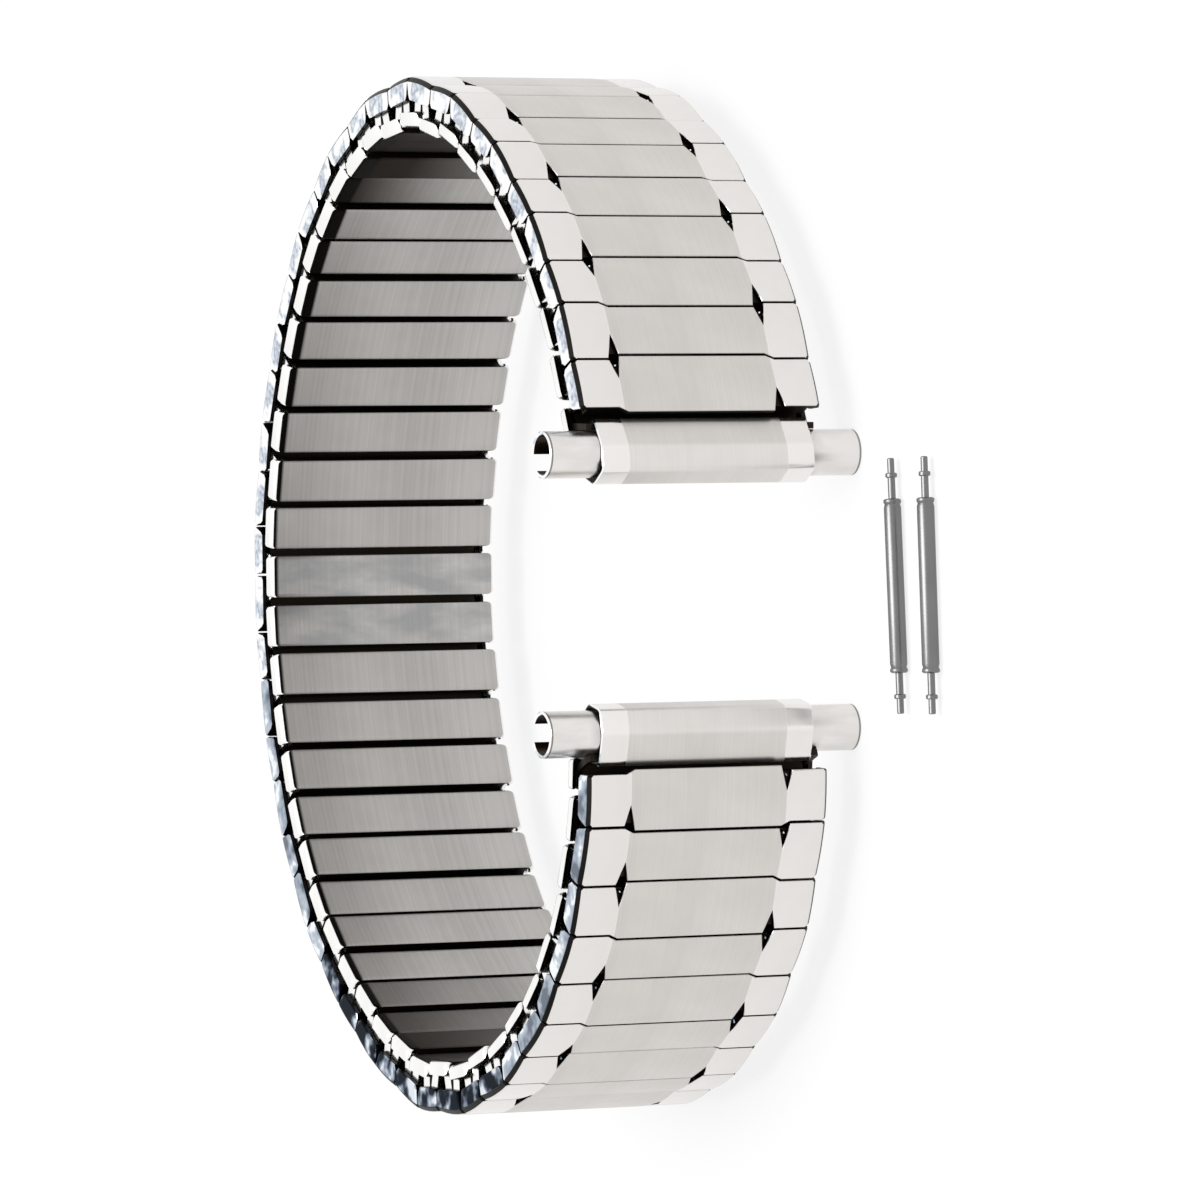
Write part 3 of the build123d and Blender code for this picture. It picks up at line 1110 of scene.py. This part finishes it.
def barrel_profile():
    """From one rolled end to the other."""
    half = barrel_length / 2
    profile = [(tip_neck_radius * barrel_mouth_share, -half)]
    for radius_share, lip_share in barrel_end_shares:
        profile.append((bar_radius * radius_share, -half + bar_lip * lip_share))
    return profile + [(radius, -y) for radius, y in reversed(profile)]


def tip_profile():
    """From the barrel's mouth outwards."""
    flange_start = tip_neck_length
    flange_end = flange_start + tip_flange_length
    pin_end = flange_end + tip_pin_length
    ease = tip_pin_radius / 4
    return [
        (tip_neck_radius, -tip_neck_length / 2), (tip_neck_radius, flange_start),
        (tip_flange_radius - ease, flange_start), (tip_flange_radius, flange_start + ease),
        (tip_flange_radius, flange_end - ease), (tip_flange_radius - ease, flange_end),
        (tip_pin_radius, flange_end), (tip_pin_radius, pin_end - ease),
        (tip_pin_radius - ease, pin_end),
    ]


for number, (reach, bar_turn) in enumerate(zip(bar_reaches, bar_turns), start=1):
    centre = Matrix.Translation((
        (opening_x + reach - origin_x) * MM, (opening_y - origin_y) * MM, bar_radius * MM))
    matrix = centre @ Matrix.Rotation(math.radians(bar_turn), 4, "Z")
    node = f"spring_bar_{number}_barrel"
    mesh = make_mesh(node, turned_shape(barrel_profile()), (bar_steel,))
    show(f"{node}_turned", mesh, matrix, node, (node,))
    for end, label in ((1, "upper"), (-1, "lower")):
        node = f"spring_bar_{number}_{label}_tip"
        shape = Shape()
        spin = Matrix.Rotation(math.pi, 4, "X") if end == -1 else Matrix.Identity(4)
        tip_place = Matrix.Translation((0, end * barrel_length / 2, 0)) @ spin
        shape.add(turned_shape(tip_profile()), tip_place)
        mesh = make_mesh(node, shape, (bar_steel,))
        show(f"{node}_turned", mesh, matrix, node, (node,))


# Floor and light
def in_metres(place):
    """A place in millimetres, turned into metres."""
    return tuple(value * MM for value in place)


def seen_rays(nodes, links):
    """One for rays from the camera or a reflection, and zero for others."""
    rays = nodes.new("ShaderNodeLightPath")
    camera_rays, glossy_rays = rays.outputs["Is Camera Ray"], rays.outputs["Is Glossy Ray"]
    return combine(nodes, links, "MAXIMUM", camera_rays, glossy_rays)


def floor_material():
    """A white paper floor, whose shadow stays faint to the eye and in reflections."""
    material, nodes, links, plain = new_material("floor")
    plain.inputs["Base Color"].default_value = (*floor_white, 1.0)
    plain.inputs["Roughness"].default_value = 1.0
    plain.inputs["Specular IOR Level"].default_value = 0.0
    white = nodes.new("ShaderNodeEmission")
    mixed = nodes.new("ShaderNodeMixShader")
    white_part = combine(nodes, links, "MULTIPLY", seen_rays(nodes, links), floor_white_share)
    links.new(white_part, mixed.inputs["Fac"])
    links.new(plain.outputs["BSDF"], mixed.inputs[1])
    links.new(white.outputs["Emission"], mixed.inputs[2])
    links.new(mixed.outputs["Shader"], nodes["Material Output"].inputs["Surface"])
    return material


floor_corners = []
for side_x, side_y in ((-1, -1), (1, -1), (1, 1), (-1, 1)):
    floor_corners.append(in_metres((side_x * floor_half, side_y * floor_half, 0)))
floor_mesh = bpy.data.meshes.new("floor")
floor_mesh.from_pydata(floor_corners, [], [(0, 1, 2, 3)])
floor_mesh.materials.append(floor_material())
floor = bpy.data.objects.new("floor", floor_mesh)
bpy.context.scene.collection.objects.link(floor)

world = bpy.data.worlds.new("studio")
bpy.context.scene.world = world
world.use_nodes = True
sky = world.node_tree.nodes
sky_links = world.node_tree.links
background = sky["Background"]
power = fade(sky, sky_links, seen_rays(sky, sky_links), 0.0, 1.0, sky_power, 1.0)
sky_links.new(power, background.inputs["Strength"])
background.inputs["Color"].default_value = (1.0, 1.0, 1.0, 1.0)

light = bpy.data.lights.new("top_lamp", "AREA")
light.shape = "SQUARE"
light.size = lamp_size * MM
light.energy = lamp_watts
lamp = bpy.data.objects.new("top_lamp", light)
lamp.location = in_metres(lamp_place)
lamp.rotation_euler = (-lamp.location).to_track_quat("-Z", "Y").to_euler()
bpy.context.scene.collection.objects.link(lamp)

# Camera
down = math.radians(camera_down)
roll = math.radians(camera_roll)
right = Vector((math.sin(down), 0, -math.cos(down)))
up = Vector((0, 1, 0))
forward = Vector((-math.cos(down), 0, -math.sin(down)))
camera_x = right * math.cos(roll) + up * math.sin(roll)
camera_y = up * math.cos(roll) - right * math.sin(roll)
camera_data = bpy.data.cameras.new("camera")
camera_data.sensor_width = camera_sensor
camera_data.lens = camera_lens
camera_data.clip_start = camera_near * MM
camera = bpy.data.objects.new("camera", camera_data)
bpy.context.scene.collection.objects.link(camera)
turned = Matrix((camera_x, camera_y, -forward)).transposed().to_4x4()
camera.matrix_world = Matrix.Translation(in_metres(camera_place)) @ turned
bpy.context.scene.camera = camera
bpy.context.scene.view_settings.view_transform = "Standard"
